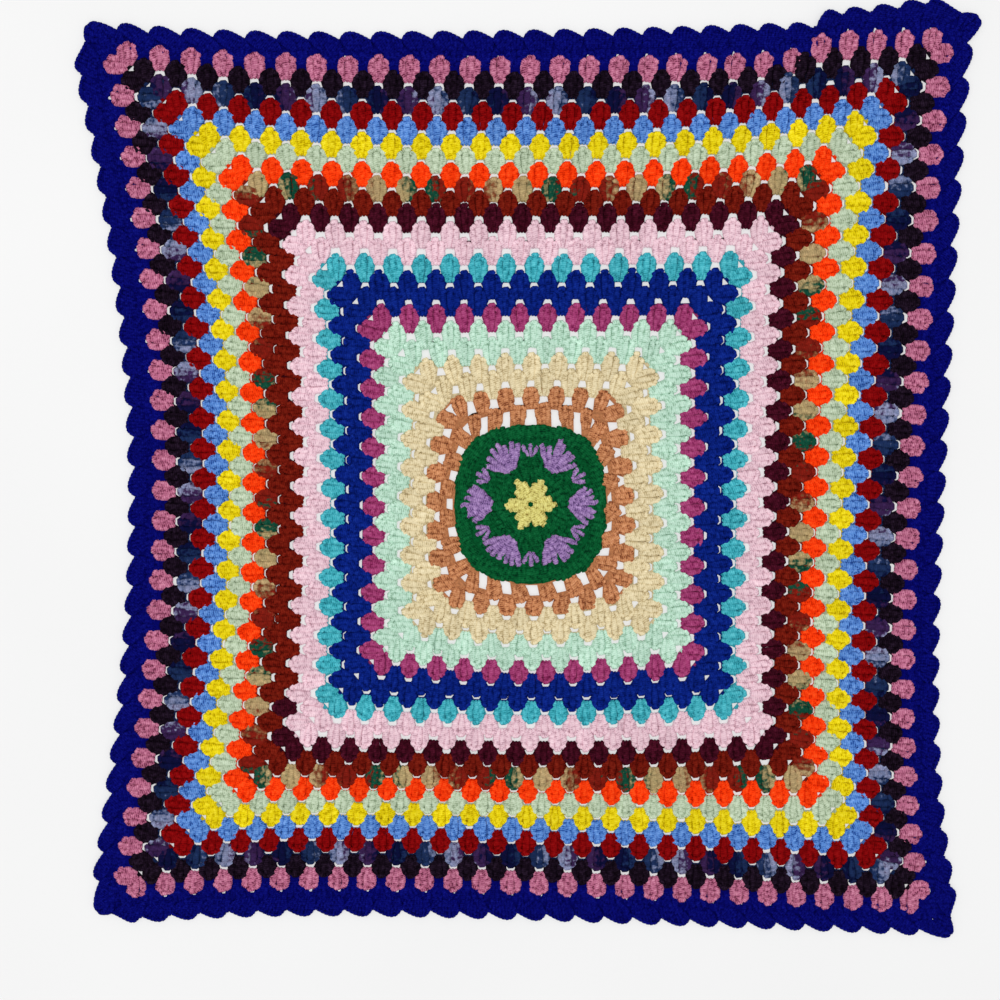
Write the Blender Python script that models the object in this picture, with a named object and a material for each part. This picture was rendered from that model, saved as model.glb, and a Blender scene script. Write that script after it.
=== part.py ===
"""Granny square blanket, worked in the round from a shell motif, with a scalloped edging.

The blanket lies flat on its underside, seen from +Z, with its length along Y.
Every round is a four-sided ring of three-stitch clusters. A side of round n holds n + 2
clusters, and each cluster stands over the gap between two clusters of the round inside it,
so the clusters and gaps form one regular lattice. RINGS gives the lattice its real outline:
the sides pull in between the corners, most of all on the left.
"""

import math
from collections import namedtuple

import bmesh
import bpy
import numpy as np

# Rounds
FIRST_ROUND = 3  # the dense green round around the motif
LAST_ROUND = 26  # the last round of clusters
EDGE_ROUND = 28  # where the valleys of the scalloped edging lie
EXTRA_CLUSTERS = 2
SIDES = 4
OPEN_ROUNDS = (4, 5, 11, 12, 13, 14)  # the rounds whose gaps are wide enough to see through

# Heights above the surface, in metres
CLUSTER_TOP = 0.0050
GAP_FLOOR = 0.0022
RIM_HEIGHT = 0.0020
SHELL_CREST = 0.0046
SHELL_FOOT = 0.0030
BLANKET_SEAM_HEIGHT = 0.0026

# Gaps cut through the openest rounds: a triangle with its broad side towards the centre
GAP_HALF_WIDTH = 0.0050
GAP_INNER = 0.55  # rounds inside its own round
GAP_OUTER = 0.08  # rounds outside its own round

# Seam between the last round and the edging
TOP_REACH = 0.62  # rounds from a cluster's middle to its top
DIP_REACH = 0.42
PIECE_GAP = 0.00035

# Edging: 28 shells on each side and one around each corner
SHELLS_PER_SIDE = 28
FIRST_VALLEY = 0.045  # share of a side
LAST_VALLEY = 0.981
SCALLOP_HEIGHT = 0.0085
SCALLOP_SKEW = 0.6  # under 1 moves a shell's highest point towards its start
RIM_PLACES = (0.0, 0.08, 0.28, 0.55, 0.8)  # the rim's points along one shell
CREST_ROUND = 27.25
CORNER_REACH = 0.042  # how far along a side the pull of its corner is felt
CORNER_EASE = 0.8  # what the scallop loses right at a corner
CornerPull = namedtuple("CornerPull", "x y")
CORNER_PULLS = (
    CornerPull(0.016, 0.001),  # top left
    CornerPull(0.009, -0.022),  # top right
    CornerPull(-0.007, -0.006),  # bottom right
    CornerPull(0.003, 0.010),  # bottom left
)

# One small fold near the top right corner, where a shell slips under the next one
FOLD_AT = 0.835  # share of the top side
FOLD_STEP = 0.013
FOLD_RISE = 0.0035
FOLD_WIDTH = 0.0045
FOLD_FADE = 0.060
FOLD_FIRST_ROUND = 23

# Rings: the corners of a round through its clusters' middles, and how far each side bows out
Ring = namedtuple("Ring", "round_no top_left top_right bottom_right bottom_left top right bottom left")
RINGS = (
    Ring(3, (-0.069, 0.065), (0.069, 0.065), (0.069, -0.074), (-0.069, -0.074), 0.008, 0.006, 0.009, 0.006),
    Ring(4, (-0.074, 0.085), (0.073, 0.093), (0.087, -0.085), (-0.079, -0.092), -0.002, 0.000, 0.006, 0.007),
    Ring(10, (-0.161, 0.183), (0.164, 0.185), (0.167, -0.168), (-0.163, -0.166), -0.002, -0.003, 0.008, -0.005),
    Ring(16, (-0.248, 0.280), (0.250, 0.284), (0.250, -0.252), (-0.252, -0.254), -0.004, -0.005, 0.005, -0.011),
    Ring(21, (-0.326, 0.358), (0.325, 0.369), (0.324, -0.334), (-0.333, -0.325), -0.018, -0.014, -0.006, -0.030),
    Ring(26, (-0.404, 0.435), (0.398, 0.448), (0.401, -0.413), (-0.415, -0.398), -0.023, -0.022, -0.013, -0.045),
    Ring(28, (-0.441, 0.458), (0.421, 0.485), (0.436, -0.440), (-0.444, -0.430), -0.026, -0.026, -0.013, -0.052),
)
# Unevenness of each side of the edging, which fades towards the middle of the blanket:
# drift crowds the clusters along the side, skew bows one half out more, flare bows both ends
SideShape = namedtuple("SideShape", "drift skew flare")
SIDE_SHAPES = (
    SideShape(0.0196, -0.0063, -0.0193),  # top
    SideShape(0.0116, -0.0163, -0.0202),  # right
    SideShape(-0.0017, -0.0102, -0.0069),  # bottom
    SideShape(0.0082, -0.0053, 0.0103),  # left
)
DRIFT_FADE = 2  # powers of the round's share of the last one
SHAPE_FADE = 3
MIDDLE = (0.0, -0.004)
ROUNDEST_ROUND = 4
ROUND_CORNERS = 0.43  # 1 would make the roundest round a circle
SQUARING = 0.62  # what each further round keeps of that
FIRST_ANGLE = 0.75 * math.pi  # the top left diagonal, where every round begins

# Motif: a puff centre, a dense green round, raised shells and the green round that frames them
MotifRing = namedtuple("MotifRing", "name points radius height")
MOTIF = (
    MotifRing("shell crests", 32, 0.061, 0.0052),
    MotifRing("shell feet", 24, 0.049, 0.0032),
    MotifRing("green round", 16, 0.036, 0.0040),
    MotifRing("puff foot", 12, 0.027, 0.0032),
    MotifRing("puff crest", 8, 0.015, 0.0060),
)
PUFF_HOLE_HEIGHT = 0.0035
FRAME_HEIGHT = 0.0042

YARN_ROUGHNESS = 0.9


def clusters_on_side(round_no):
    """Clusters on one side of a round."""
    return round_no + EXTRA_CLUSTERS


def ring_at(round_no):
    """Corner points and side bows of any round, whole or not, read between the rows of RINGS."""
    rows = [ring.round_no for ring in RINGS]

    def read(values):
        return float(np.interp(round_no, rows, values))

    corners = []
    for name in ("top_left", "top_right", "bottom_right", "bottom_left"):
        column = [getattr(ring, name) for ring in RINGS]
        corners.append(np.array([read([point[0] for point in column]), read([point[1] for point in column])]))
    bows = [read([getattr(ring, name) for ring in RINGS]) for name in ("top", "right", "bottom", "left")]
    return corners, bows


def side_length(round_no, side):
    """Straight length between the two corners of a side."""
    corners, _ = ring_at(round_no)
    return float(np.hypot(*(corners[(side + 1) % SIDES] - corners[side])))


def fold_shape(round_no, along):
    """The outward step and the rise of the small fold, at a signed distance along the top side."""
    strength = min(max((round_no - FOLD_FIRST_ROUND) / (EDGE_ROUND - FOLD_FIRST_ROUND), 0.0), 1.0)
    step = 0.5 * FOLD_STEP * math.tanh(along / FOLD_WIDTH) * math.exp(-abs(along) / FOLD_FADE)
    rise = FOLD_RISE * math.exp(-((along / (2 * FOLD_WIDTH)) ** 2))
    return strength * step, strength * rise


def on_ring(round_no, side, share, outward=0.0):
    """A point on a round: share runs 0 to 1 along the side, clockwise. Returns x, y and the fold's rise."""
    corners, bows = ring_at(round_no)
    start, end = corners[side], corners[(side + 1) % SIDES]
    run = end - start
    length = float(np.hypot(*run))
    normal = np.array([-run[1], run[0]]) / length
    shape = SIDE_SHAPES[side]
    share += 4 * share * (1 - share) * shape.drift * (round_no / LAST_ROUND) ** DRIFT_FADE
    centred = 2 * share - 1
    uneven = (shape.skew * centred + shape.flare * centred**2) * (round_no / EDGE_ROUND) ** SHAPE_FADE
    bow = 4 * share * (1 - share) * (bows[side] + uneven)
    step, rise = fold_shape(round_no, (share - FOLD_AT) * length) if side == 0 else (0.0, 0.0)
    point = start + run * share + normal * (bow + outward + step)
    roundness = ROUND_CORNERS * SQUARING ** (round_no - ROUNDEST_ROUND)
    middle = np.array(MIDDLE)
    point = middle + (point - middle) * (1 + centred**2) ** (-roundness / 2)
    return point[0], point[1], rise


def lattice_round(bm, round_no):
    """The verts of one round, clockwise from its top left corner: gaps at even places, clusters at odd."""
    half_steps = 2 * clusters_on_side(round_no)
    verts = []
    for side in range(SIDES):
        for step in range(half_steps):
            x, y, rise = on_ring(round_no, side, step / half_steps)
            height = CLUSTER_TOP if step % 2 else GAP_FLOOR
            if round_no == FIRST_ROUND:
                height = FRAME_HEIGHT
            verts.append(bm.verts.new((x, y, height + rise)))
    return verts


def gap_triangle(bm, round_no, side, share):
    """The three rim verts of a gap that is cut through: inner left, inner right and outer."""
    spread = GAP_HALF_WIDTH / side_length(round_no, side)
    # At a corner the two inner points lie on the two sides that meet there.
    left_side, left_share = (side, share - spread) if share > spread else ((side - 1) % SIDES, 1 - spread)
    places = (
        (round_no - GAP_INNER, left_side, left_share),
        (round_no - GAP_INNER, side, share + spread),
        (round_no + GAP_OUTER, side, share),
    )
    return [bm.verts.new((*on_ring(*place)[:2], GAP_FLOOR)) for place in places]


def lattice_faces(bm, rounds, gaps):
    """Faces between neighbouring rounds, with the gaps in `gaps` left open.

    Each four-sided cell is split from gap to gap, so that every cluster stands up as a bump of its own.
    """

    def gap_corner(round_no, index, name):
        """A cell's gap vert, or the corner of an open gap that faces the cell."""
        triangle = gaps.get((round_no, index))
        return triangle[name] if triangle else rounds[round_no][index]

    left, right, outer = 0, 1, 2
    for round_no in range(FIRST_ROUND, LAST_ROUND):
        inner_steps = 2 * clusters_on_side(round_no)
        outer_steps = inner_steps + 2
        for side in range(SIDES):
            for step in range(inner_steps):
                a = side * inner_steps + step
                b = (a + 1) % (SIDES * inner_steps)
                d = side * outer_steps + step + 1
                c = d + 1
                if step % 2:
                    # a cluster, b gap, c cluster, d gap: the gap b shows its left side here
                    inner_gap = [gap_corner(round_no, b, left)]
                    if (round_no, b) in gaps:
                        inner_gap.append(gap_corner(round_no, b, outer))
                    outer_gap = gap_corner(round_no + 1, d, right)
                    ring = [rounds[round_no][a], *inner_gap, rounds[round_no + 1][c], outer_gap]
                else:
                    # a gap, b cluster, c gap, d cluster: the gap a shows its right side here
                    inner_gap = [gap_corner(round_no, a, right)]
                    if (round_no, a) in gaps:
                        inner_gap.insert(0, gap_corner(round_no, a, outer))
                    outer_gap = gap_corner(round_no + 1, c, left)
                    ring = [*inner_gap, rounds[round_no][b], outer_gap, rounds[round_no + 1][d]]
                fan(bm, ring, outer_gap)
            corner_faces(bm, rounds, gaps, round_no, side)
        for index in range(0, SIDES * outer_steps, 2):
            triangle = gaps.get((round_no + 1, index))
            if triangle and index % outer_steps:
                side, step = divmod(index, outer_steps)
                below = rounds[round_no][side * inner_steps + step - 1]
                bm.faces.new((below, triangle[right], triangle[left]))


def corner_faces(bm, rounds, gaps, round_no, side):
    """The faces between a round's corner gap and the corner gap and two corner clusters outside it."""
    left, right, outer = 0, 1, 2
    inner_count = SIDES * 2 * clusters_on_side(round_no)
    outer_count = SIDES * 2 * clusters_on_side(round_no + 1)
    index = side * inner_count // SIDES
    corner = side * outer_count // SIDES
    inner = gaps.get((round_no, index))
    here = inner[outer] if inner else rounds[round_no][index]
    after = rounds[round_no + 1][corner + 1]
    before = rounds[round_no + 1][corner - 1]
    open_gap = gaps.get((round_no + 1, corner))
    if open_gap:
        bm.faces.new((here, after, open_gap[right]))
        bm.faces.new((here, open_gap[right], open_gap[left]))
        bm.faces.new((here, open_gap[left], before))
    else:
        bm.faces.new((here, after, rounds[round_no + 1][corner]))
        bm.faces.new((here, rounds[round_no + 1][corner], before))


def fan(bm, ring, start):
    """Triangles from one vert of a small ring of verts to all its other edges."""
    at = ring.index(start)
    turned = ring[at:] + ring[:at]
    for second, third in zip(turned[1:-1], turned[2:]):
        bm.faces.new((turned[0], second, third))


def turn_share(vert):
    """A vert's place around the middle, 0 to 1, clockwise from the top left diagonal."""
    angle = math.atan2(vert.co.y - MIDDLE[1], vert.co.x - MIDDLE[0])
    return ((FIRST_ANGLE - angle) / (2 * math.pi)) % 1.0


def zip_loops(bm, outer, inner):
    """Triangles between two closed loops of verts that both run clockwise."""

    def unrolled(loop):
        first = min(range(len(loop)), key=lambda at: turn_share(loop[at]))
        loop = loop[first:] + loop[:first]
        return loop + loop[:1], [turn_share(vert) for vert in loop] + [1 + turn_share(loop[0])]

    outer, outer_at = unrolled(outer)
    inner, inner_at = unrolled(inner)
    i = j = 0
    while i < len(outer) - 1 or j < len(inner) - 1:
        if j == len(inner) - 1 or (i < len(outer) - 1 and outer_at[i + 1] <= inner_at[j + 1]):
            bm.faces.new((inner[j], outer[i], outer[i + 1]))
            i += 1
        else:
            bm.faces.new((inner[j], outer[i], inner[j + 1]))
            j += 1


def motif_faces(bm, frame):
    """The round motif inside the first ring of the lattice."""
    outer = frame
    for ring in MOTIF:
        loop = []
        for place in range(ring.points):
            angle = FIRST_ANGLE - 2 * math.pi * place / ring.points
            x = MIDDLE[0] + ring.radius * math.cos(angle)
            y = MIDDLE[1] + ring.radius * math.sin(angle)
            loop.append(bm.verts.new((x, y, ring.height)))
        zip_loops(bm, outer, loop)
        outer = loop
    hole = bm.verts.new((*MIDDLE, PUFF_HOLE_HEIGHT))
    for place, vert in enumerate(outer):
        bm.faces.new((hole, vert, outer[(place + 1) % len(outer)]))


def seam_places():
    """Where the last round ends: (round, side, share) at the top of each cluster and in each dip."""
    half_steps = 2 * clusters_on_side(LAST_ROUND)
    places = []
    for side in range(SIDES):
        for step in range(half_steps):
            reach = TOP_REACH if step % 2 else DIP_REACH
            places.append((LAST_ROUND + reach, side, step / half_steps))
    return places


def seam_verts(bm, outward):
    """One loop of verts along the seam, moved outwards a little for the edging's side of it."""
    return [bm.verts.new((*on_ring(*place, outward)[:2], BLANKET_SEAM_HEIGHT)) for place in seam_places()]


def square_surface(bm):
    """The upper surface of all the rounds of clusters and of the motif."""
    rounds = {number: lattice_round(bm, number) for number in range(FIRST_ROUND, LAST_ROUND + 1)}
    gaps = {}
    for round_no in OPEN_ROUNDS:
        half_steps = 2 * clusters_on_side(round_no)
        for index in range(0, SIDES * half_steps, 2):
            side, step = divmod(index, half_steps)
            gaps[round_no, index] = gap_triangle(bm, round_no, side, step / half_steps)
            bm.verts.remove(rounds[round_no][index])
            rounds[round_no][index] = None
    lattice_faces(bm, rounds, gaps)
    motif_faces(bm, rounds[FIRST_ROUND])
    last = rounds[LAST_ROUND]
    seam = seam_verts(bm, 0.0)
    for at, vert in enumerate(last):
        after = (at + 1) % len(last)
        # split from the low vert of each cell, which keeps the clusters apart
        if at % 2:
            bm.faces.new((last[after], seam[after], seam[at]))
            bm.faces.new((last[after], seam[at], vert))
        else:
            bm.faces.new((vert, last[after], seam[after]))
            bm.faces.new((vert, seam[after], seam[at]))


def shell_edges():
    """(side, first share, last share) of every shell along the sides, clockwise. Corners come between."""
    pitch = (LAST_VALLEY - FIRST_VALLEY) / SHELLS_PER_SIDE
    for side in range(SIDES):
        for shell in range(SHELLS_PER_SIDE):
            start = FIRST_VALLEY + shell * pitch
            yield side, start, start + pitch
        yield side, LAST_VALLEY, 1 + FIRST_VALLEY


def edge_point(round_no, side, share, outward):
    """A point of the edging, which may run on past the side's end, with the pull of the nearest corner."""
    if share > 1:
        side, share = (side + 1) % SIDES, share - 1
    pull = CORNER_PULLS[side if share < 0.5 else (side + 1) % SIDES]
    felt = max(0.0, 1 - min(share, 1 - share) * side_length(round_no, side) / CORNER_REACH)
    x, y, rise = on_ring(round_no, side, share, outward * (1 - CORNER_EASE * felt))
    return x + felt * pull.x, y + felt * pull.y, rise


def scallop(place):
    """Height of a shell's rim, 0 to 1 to 0: steep at its start and long at its end."""
    return math.sin(math.pi * place**SCALLOP_SKEW)


def edging_surface(bm):
    """The upper surface of the edging: seam, a crest on each shell and the scalloped rim."""
    crests = []
    rim = []
    for side, start, end in shell_edges():
        middle = (start + end) / 2
        for share, height in ((start, SHELL_FOOT), (middle, SHELL_CREST)):
            x, y, rise = edge_point(CREST_ROUND, side, share, 0.0)
            crests.append(bm.verts.new((x, y, height + rise)))
        for place in RIM_PLACES:
            outward = SCALLOP_HEIGHT * scallop(place)
            x, y, rise = edge_point(EDGE_ROUND, side, start + (end - start) * place, outward)
            rim.append(bm.verts.new((x, y, RIM_HEIGHT + rise)))
    zip_loops(bm, crests, seam_verts(bm, PIECE_GAP))
    zip_loops(bm, rim, crests)


def close_downwards(bm):
    """Gives the open surface straight walls down to z = 0 and a flat underside."""
    border = [edge for edge in bm.edges if edge.is_boundary]
    walls = bmesh.ops.extrude_edge_only(bm, edges=border)["geom"]
    for item in walls:
        if isinstance(item, bmesh.types.BMVert):
            item.co.z = 0.0
    bottom = [item for item in walls if isinstance(item, bmesh.types.BMEdge) and item.is_boundary]
    bmesh.ops.triangle_fill(bm, use_beauty=True, use_dissolve=False, edges=bottom, normal=(0, 0, -1))
    bmesh.ops.recalc_face_normals(bm, faces=bm.faces)


def yarn(name, colour):
    """A matt yarn material."""
    material = bpy.data.materials.new(name)
    material.use_nodes = True
    shader = material.node_tree.nodes["Principled BSDF"]
    shader.inputs["Base Color"].default_value = (*colour, 1.0)
    shader.inputs["Roughness"].default_value = YARN_ROUGHNESS
    shader.inputs["Metallic"].default_value = 0.0
    material.diffuse_color = (*colour, 1.0)
    return material


def new_piece(name, surface, material, collection):
    """One closed solid, made from the function that lays down its upper surface."""
    bm = bmesh.new()
    surface(bm)
    close_downwards(bm)
    mesh = bpy.data.meshes.new(name)
    bm.to_mesh(mesh)
    bm.free()
    mesh.materials.append(material)
    piece = bpy.data.objects.new(name, mesh)
    collection.objects.link(piece)
    return piece


def centre_on_origin(pieces):
    """Moves the meshes together, so that the origin is under the middle of the whole outline."""
    points = np.array([vert.co[:2] for piece in pieces for vert in piece.data.vertices])
    shift = -(points.min(axis=0) + points.max(axis=0)) / 2
    for piece in pieces:
        for vert in piece.data.vertices:
            vert.co.x += shift[0]
            vert.co.y += shift[1]


def main():
    for obj in list(bpy.data.objects):
        bpy.data.objects.remove(obj, do_unlink=True)
    collection = bpy.data.collections.new("granny_square_blanket")
    bpy.context.scene.collection.children.link(collection)
    square = new_piece("granny_square", square_surface, yarn("rounds_yarn", (0.55, 0.30, 0.28)), collection)
    edging = new_piece("shell_edging", edging_surface, yarn("edging_yarn", (0.01, 0.01, 0.14)), collection)
    centre_on_origin((square, edging))


main()
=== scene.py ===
"""Granny square blanket: rounds of crocheted clusters, a shell motif and a scalloped edging, lying flat.

Lengths are in metres, +Z is up and +Y runs along the blanket. A plan of rings places every cluster and gap.
Each stitch is a strand surface: an oval profile carried along a path, with two plies that wind around it.
"""

from __future__ import annotations

import functools
import logging
import math
from dataclasses import astuple, dataclass, field, replace
from enum import Enum

import bpy
import numpy as np
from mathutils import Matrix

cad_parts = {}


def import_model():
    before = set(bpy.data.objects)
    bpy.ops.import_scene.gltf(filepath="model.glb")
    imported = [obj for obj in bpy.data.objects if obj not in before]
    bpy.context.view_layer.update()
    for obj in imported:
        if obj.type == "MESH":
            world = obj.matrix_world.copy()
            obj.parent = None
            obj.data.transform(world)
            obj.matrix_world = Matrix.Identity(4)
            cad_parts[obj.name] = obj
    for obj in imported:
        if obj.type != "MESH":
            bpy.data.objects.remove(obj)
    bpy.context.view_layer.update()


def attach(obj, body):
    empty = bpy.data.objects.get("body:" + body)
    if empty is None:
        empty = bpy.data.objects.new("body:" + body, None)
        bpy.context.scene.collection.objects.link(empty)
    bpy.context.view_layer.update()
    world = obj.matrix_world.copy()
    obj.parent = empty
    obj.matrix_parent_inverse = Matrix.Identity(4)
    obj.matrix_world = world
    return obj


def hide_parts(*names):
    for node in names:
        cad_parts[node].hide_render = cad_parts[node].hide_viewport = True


LOG = logging.getLogger("granny_square_blanket")
SIDES = 4
SMALLEST = 1e-9
Array = np.ndarray
Draws = np.random.Generator
Numbers = float | Array
Colour = tuple[float, float, float, float]
Display = tuple[int, int, int]
Node = bpy.types.Node
Piece = bpy.types.Object
Socket = bpy.types.NodeSocket


# ---- small geometry


def halfway(share: Numbers) -> Numbers:
    """4 s (1 - s): nothing at both ends of a run and 1 halfway along it."""
    return 4 * share * (1 - share)


def between(low: Numbers, high: Numbers, share: Numbers) -> Numbers:
    """low + (high - low) * share."""
    return low + (high - low) * share


def heading(angle: Array) -> Array:
    """Directions at these angles: cos a, sin a."""
    return np.stack([np.cos(angle), np.sin(angle)], axis=-1)


def quarter_turn(flat: Array) -> Array:
    """Flat directions turned anticlockwise by 90 degrees: -y, x."""
    return np.stack([-flat[..., 1], flat[..., 0]], axis=-1)


def unit(vectors: Array) -> Array:
    """The vectors at a length of 1."""
    return vectors / np.maximum(np.linalg.norm(vectors, axis=-1, keepdims=True), SMALLEST)


def at_height(flat: Array, z: Numbers) -> Array:
    """Flat points x, y with a height added."""
    return np.column_stack([flat, np.broadcast_to(z, len(flat))])


def flat_distance(start: Array, end: Array) -> Array:
    """Distance between two rows of points, seen from above."""
    return np.linalg.norm((end - start)[..., :2], axis=-1)


# ---- plan of the rounds


@dataclass(frozen=True)
class Ring:
    """One round in millimetres: its corners through the clusters' middles, and how far each side bows out."""

    round_no: float
    top_left: tuple[float, float]
    top_right: tuple[float, float]
    bottom_right: tuple[float, float]
    bottom_left: tuple[float, float]
    top: float
    right: float
    bottom: float
    left: float

    def row(self) -> list[float]:
        """The ring's four corners and four bows in one row of metres, clockwise from the top left."""
        corners = (*self.top_left, *self.top_right, *self.bottom_right, *self.bottom_left)
        return [value / 1000 for value in (*corners, self.top, self.right, self.bottom, self.left)]


@dataclass(frozen=True)
class SideShape:
    """Unevenness of a side: drift crowds clusters along it, skew bows one half out, flare bows both ends."""

    drift: float
    skew: float
    flare: float


@dataclass(frozen=True)
class Fold:
    """The small fold in the top side: one shell slips under the next and draws the last rounds outwards."""

    at: float = 0.835
    step: float = 0.013
    rise: float = 0.0020
    width: float = 0.0045
    fade: float = 0.060
    first_round: float = 23.0
    draw: float = 0.0085
    draw_at: float = 0.034
    draw_width: float = 0.046
    drawn_round: float = 22.0


@dataclass(frozen=True)
class RimPoints:
    """Points of the rim: their side, share and place in a shell, and that shell's first and last share."""

    side: Array
    share: Array
    place: Array
    start: Array
    end: Array

    def moved(self, along: float) -> RimPoints:
        """The points a share of their shell further along it, held inside it.

        Args:
            along: the share of a shell, backwards if under 0.

        Returns:
            The moved points.
        """
        place = np.clip(self.place + along, 0.0, 1.0)
        share = self.share + (place - self.place) * (self.end - self.start)
        return replace(self, place=place, share=share)


@dataclass
class Fans:
    """The fans of one round, with the gap that each is worked into, its middle and the room it has.

    Gap and middle are rows of x, y and rise. Plump is a fan's size and broad the breadth of its foot, both
    about 1. Dye is its place in the yarn's dye, which moves on by dye_run from one fan to the next.
    """

    gap: Array
    middle: Array
    room: Array
    plump: Numbers = 1.0
    broad: Numbers = 1.0
    dye: Numbers = 0.0
    dye_run: float = 0.0


@dataclass
class Plan:
    """Where everything lies: rounds of clusters, the gaps between them and the scalloped rim.

    A side of round n holds n + 2 clusters. Share runs 0 to 1 along a side, clockwise.
    """

    first_round: int = 3
    last_round: int = 26
    edge_round: float = 28.0
    extra_clusters: int = 2
    middle: tuple[float, float] = (0.0, -0.004)
    roundest: float = 4.0
    round_corners: float = 0.43
    squaring: float = 0.62
    drift_fade: int = 2
    shape_fade: int = 3
    shells_per_side: int = 28
    first_valley: float = 0.045
    last_valley: float = 0.981
    scallop_height: float = 0.0085
    scallop_skew: float = 0.6
    rim_places: tuple[float, ...] = (0.0, 0.08, 0.28, 0.55, 0.8)
    corner_reach: float = 0.042
    corner_ease: float = 0.8
    corner_pulls: tuple[tuple[float, float], ...] = (
        (0.016, 0.001), (0.009, -0.022), (-0.007, -0.006), (0.003, 0.010),
    )
    fold: Fold = Fold()
    rings: tuple[Ring, ...] = (
        Ring(3, (-69, 65), (69, 65), (69, -74), (-69, -74), 8, 6, 9, 6),
        Ring(4, (-74, 85), (73, 93), (87, -85), (-79, -92), -2, 0, 6, 7),
        Ring(10, (-161, 183), (164, 185), (167, -168), (-163, -166), -2, -3, 8, -5),
        Ring(16, (-248, 280), (250, 284), (250, -252), (-252, -254), -4, -5, 5, -11),
        Ring(21, (-326, 358), (325, 369), (324, -334), (-333, -325), -18, -14, -6, -30),
        Ring(26, (-404, 435), (398, 448), (401, -413), (-415, -398), -23, -22, -13, -45),
        Ring(28, (-441, 458), (421, 485), (436, -440), (-444, -430), -26, -26, -13, -52),
    )
    sides: tuple[SideShape, ...] = (
        SideShape(0.0196, -0.0063, -0.0193),
        SideShape(0.0116, -0.0163, -0.0202),
        SideShape(-0.0017, -0.0102, -0.0069),
        SideShape(0.0082, -0.0053, 0.0103),
    )
    shift: Array = field(default_factory=lambda: np.zeros(2))

    def __post_init__(self) -> None:
        """Centres the plan: the middle of the rim's box goes over the origin."""
        rim = self.rim(self.rim_points(self.rim_places))[:, :2]
        self.shift = -(rim.min(axis=0) + rim.max(axis=0)) / 2

    def count(self, round_no: int) -> int:
        """Clusters on one side of a round."""
        return round_no + self.extra_clusters

    def centre(self) -> Array:
        """The middle of the motif."""
        return np.array(self.middle) + self.shift

    def outwards(self, round_no: Numbers, first: float) -> Numbers:
        """How far out a round lies between a first one, 0, and the rim, 1."""
        return np.clip((round_no - first) / (self.edge_round - first), 0, 1)

    def on_ring(self, round_no: Numbers, side: Numbers, share: Numbers, outward: Numbers = 0.0) -> Array:
        """Points on rounds, whole or not.

        A side is the straight run between two corners, plus a bow of 4 s (1 - s) times its depth, and then
        drawn towards the middle at its ends by (1 + (2s - 1)^2) to a small power, which rounds the square.
        Beside the fold the last rounds are drawn outwards by 27/4 t^2 (1 - t), with t from 0 to 1 over them.

        Args:
            round_no: round of each point.
            side: side of each point, 0 for the top and on clockwise.
            share: place of each point along its side.
            outward: distance of each point outside the round.

        Returns:
            Rows of x, y and the rise of the fold there.
        """
        given = (np.asarray(round_no, float), side, np.asarray(share, float), outward)
        round_no, side, share, outward = np.broadcast_arrays(*given)
        keys = [ring.round_no for ring in self.rings]
        table = np.array([ring.row() for ring in self.rings])
        values = np.stack([np.interp(round_no, keys, column) for column in table.T], axis=-1)
        corners = values[..., :8].reshape(*round_no.shape, SIDES, 2)
        start, end = (
            np.take_along_axis(corners, corner[..., None, None], axis=-2)[..., 0, :]
            for corner in (side, (side + 1) % SIDES)
        )
        bows = np.take_along_axis(values[..., 8:], side[..., None], axis=-1)[..., 0]
        shapes = np.array([astuple(shape) for shape in self.sides])
        drift, skew, flare = np.moveaxis(shapes[side], -1, 0)
        run = end - start
        length = np.linalg.norm(run, axis=-1)
        normal = quarter_turn(run) / length[..., None]
        share = share + halfway(share) * drift * (round_no / self.last_round) ** self.drift_fade
        centred = 2 * share - 1
        uneven = (skew * centred + flare * centred**2) * (round_no / self.edge_round) ** self.shape_fade
        fold, on_top = self.fold, side == 0
        along = (share - fold.at) * length
        strength = self.outwards(round_no, fold.first_round) * on_top
        step = 0.5 * fold.step * np.tanh(along / fold.width) * np.exp(-np.abs(along) / fold.fade)
        rise = fold.rise * np.exp(-((along / (2 * fold.width)) ** 2)) * strength
        out = self.outwards(round_no, fold.drawn_round)
        near = np.exp(-(((along - fold.draw_at) / fold.draw_width) ** 2)) * on_top
        drawn = fold.draw * near * 27 / 4 * out**2 * (1 - out)
        aside = halfway(share) * (bows + uneven) + outward + drawn + strength * step
        point = start + run * share[..., None] + normal * aside[..., None]
        power = -0.5 * self.round_corners * self.squaring ** (round_no - self.roundest)
        middle = np.array(self.middle)
        point = middle + (point - middle) * ((1 + centred**2) ** power)[..., None] + self.shift
        return np.concatenate([point, rise[..., None]], axis=-1)

    def on_edging(self, round_no: Numbers, side: Numbers, share: Numbers, outward: Numbers = 0.0) -> Array:
        """Points of the edging, with the nearest corner's pull: full at the rim, none at the last clusters.

        Args:
            round_no: round of each point, whole or not.
            side: side of each point.
            share: place of each point along its side, over 1 where it has passed the next corner.
            outward: distance of each point outside the round.

        Returns:
            Rows of x, y and the rise of the fold there.
        """
        side, share, outward = np.broadcast_arrays(side, np.asarray(share, float), np.asarray(outward, float))
        side = np.where(share > 1, (side + 1) % SIDES, side)
        share = np.where(share > 1, share - 1, share)
        length = flat_distance(self.on_ring(round_no, side, 0.0), self.on_ring(round_no, side, 1.0))
        nearest = np.where(share < 0.5, side, (side + 1) % SIDES)
        felt = np.clip(1 - np.minimum(share, 1 - share) * length / self.corner_reach, 0, 1)
        point = self.on_ring(round_no, side, share, outward * (1 - self.corner_ease * felt))
        felt = felt * self.outwards(round_no, self.last_round)
        point[..., :2] += felt[..., None] * np.array(self.corner_pulls)[nearest]
        return point

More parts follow.
